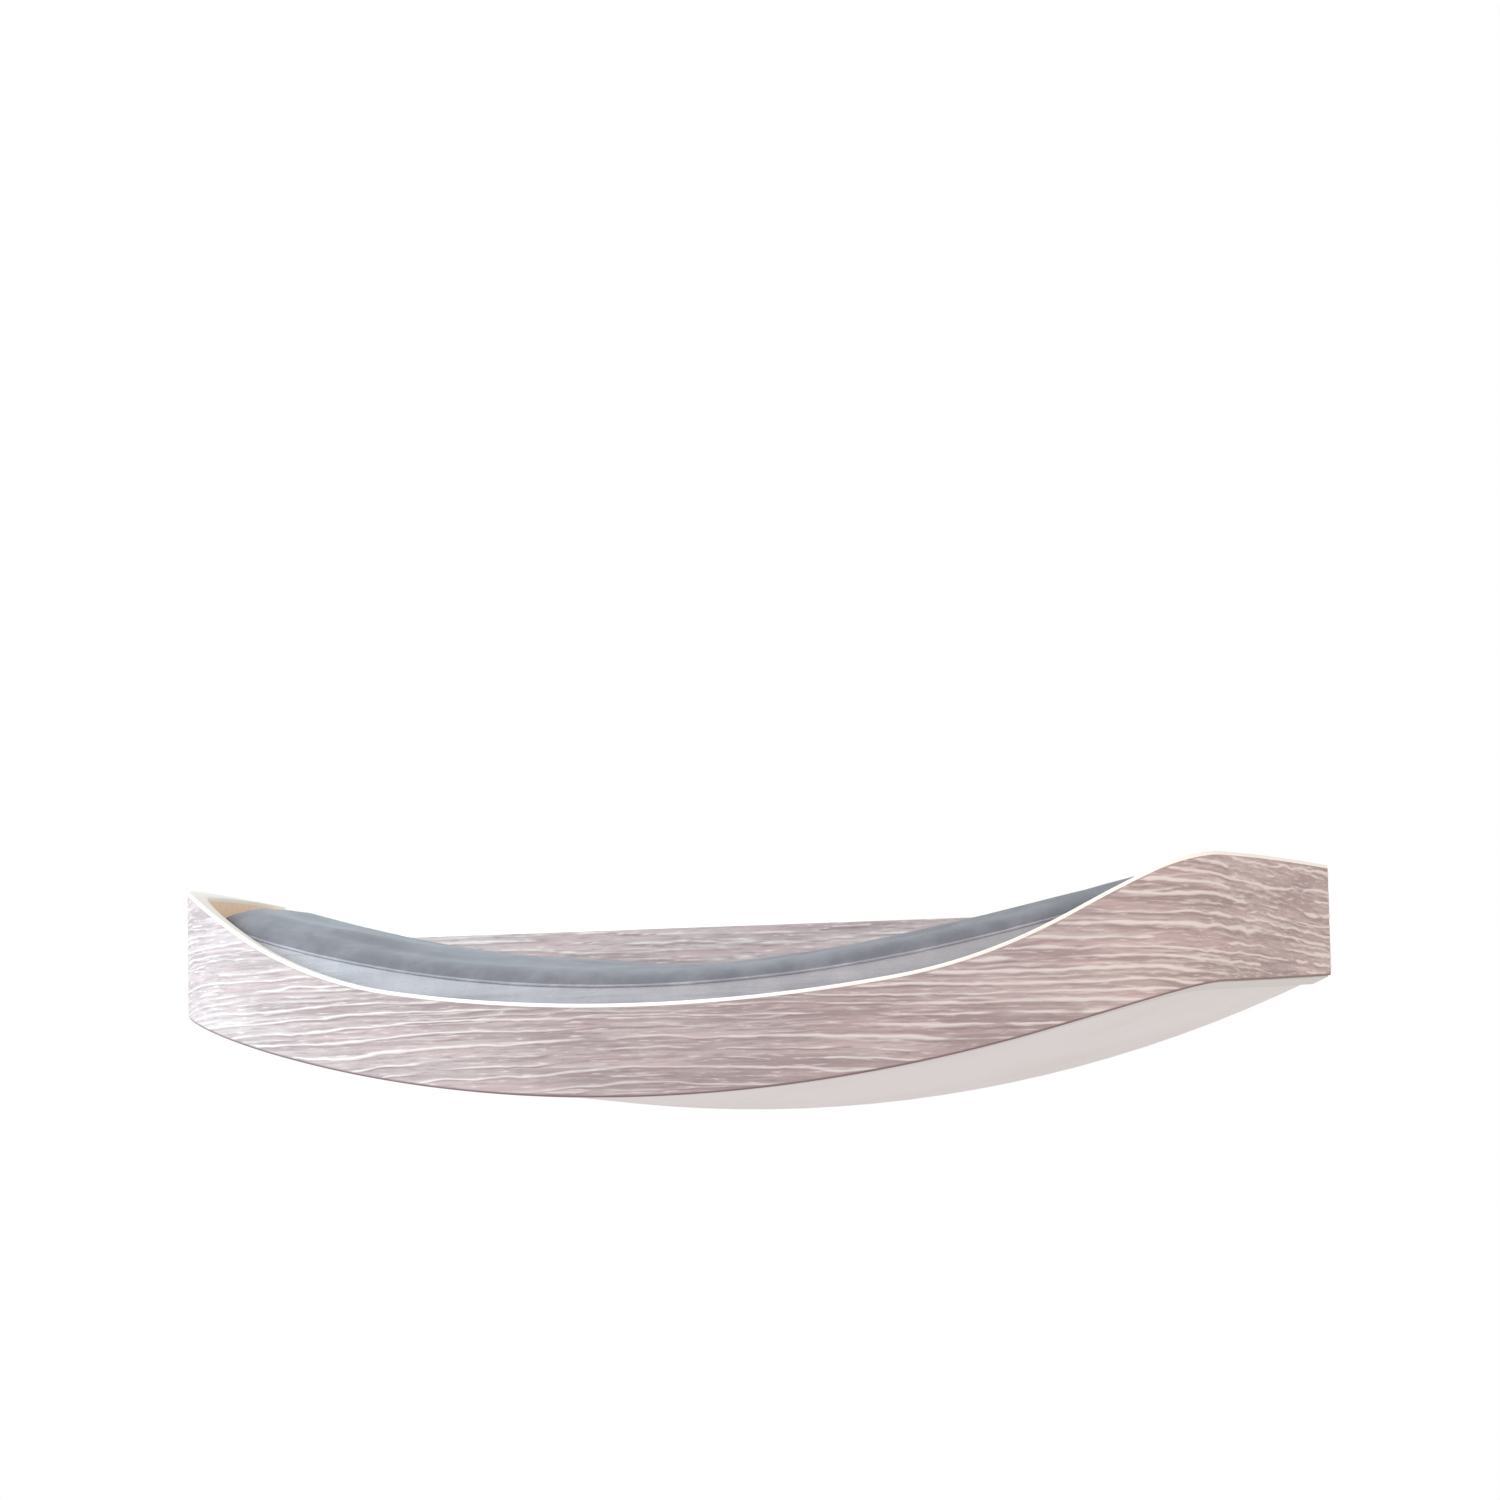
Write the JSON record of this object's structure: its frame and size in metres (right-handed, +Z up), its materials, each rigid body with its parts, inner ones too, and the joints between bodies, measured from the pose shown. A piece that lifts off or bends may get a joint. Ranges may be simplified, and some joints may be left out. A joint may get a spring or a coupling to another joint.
{
  "type": "cat wall shelf",
  "caption": "Bow-fronted wall shelf for a cat: a curved plywood tray whose rim dips at the front, with a fitted velvet box cushion that lifts out.",
  "frame": {"origin": "middle of the four wall screw holes, in the plane of the wall", "axes": "+Y into the wall, +X to the right seen from the front, +Z up"},
  "size_m": [0.5, 0.27, 0.1042],
  "materials": {
    "plywood": "bare bent plywood with a clear satin seal",
    "oak_laminate": "whitewashed oak decor with a raised grain, matt",
    "edging": "cream white edge banding, satin",
    "white_laminate": "plain white laminate, matt",
    "block_wood": "planed softwood",
    "screw_steel": "zinc plated",
    "dowel_wood": "fluted hardwood dowel",
    "strip_tape": "hook and loop tape",
    "foam": "open cell foam",
    "velvet": "short pile velvet, slate grey",
    "side_cloth": "short pile velvet, paler grey",
    "lining": "plain woven lining",
    "piping_cloth": "fabric covered cord",
    "zip_cloth": "woven zip tape",
    "zip_nylon": "nylon coil",
    "zip_metal": "nickel plated"
  },
  "bodies": {
    "shelf": {"front_band": "plywood", "front_laminate": "oak_laminate", "front_edging": "edging", "base_board": "plywood", "base_laminate": "white_laminate", "back_panel": "plywood", "back_laminate": "oak_laminate", "back_edging": "edging", "corner_block_left": "block_wood", "corner_block_right": "block_wood", "corner_screws": "screw_steel", "panel_dowels": "dowel_wood", "loop_strips": "strip_tape"},
    "cushion": {"cushion_foam": "foam", "cushion_top": "velvet", "cushion_boxing": "side_cloth", "cushion_bottom": "lining", "cushion_piping": "piping_cloth", "hook_strips": "strip_tape", "zip_tape": "zip_cloth", "zip_coil": "zip_nylon"},
    "zip_slider": {"zip_slider": "zip_metal"},
    "zip_puller": {"zip_puller": "zip_metal"}
  },
  "joints": [
    {"name": "cushion_lift", "type": "slide", "parent": "shelf", "child": "cushion", "axis": [0, 0, 1], "range_m": [0, 0.1]},
    {"name": "zip_slide", "type": "hinge", "parent": "cushion", "child": "zip_slider", "pos_m": [0, -0.0228, 0.55502], "axis": [0, -1, 0], "range_deg": [0, 27.4]},
    {"name": "puller_tilt", "type": "hinge", "parent": "zip_slider", "child": "zip_puller", "pos_m": [-0.139, -0.01922, -0.01294], "axis": [0.2377, 0, 0.9713], "range_deg": [-7, 8]}
  ]
}
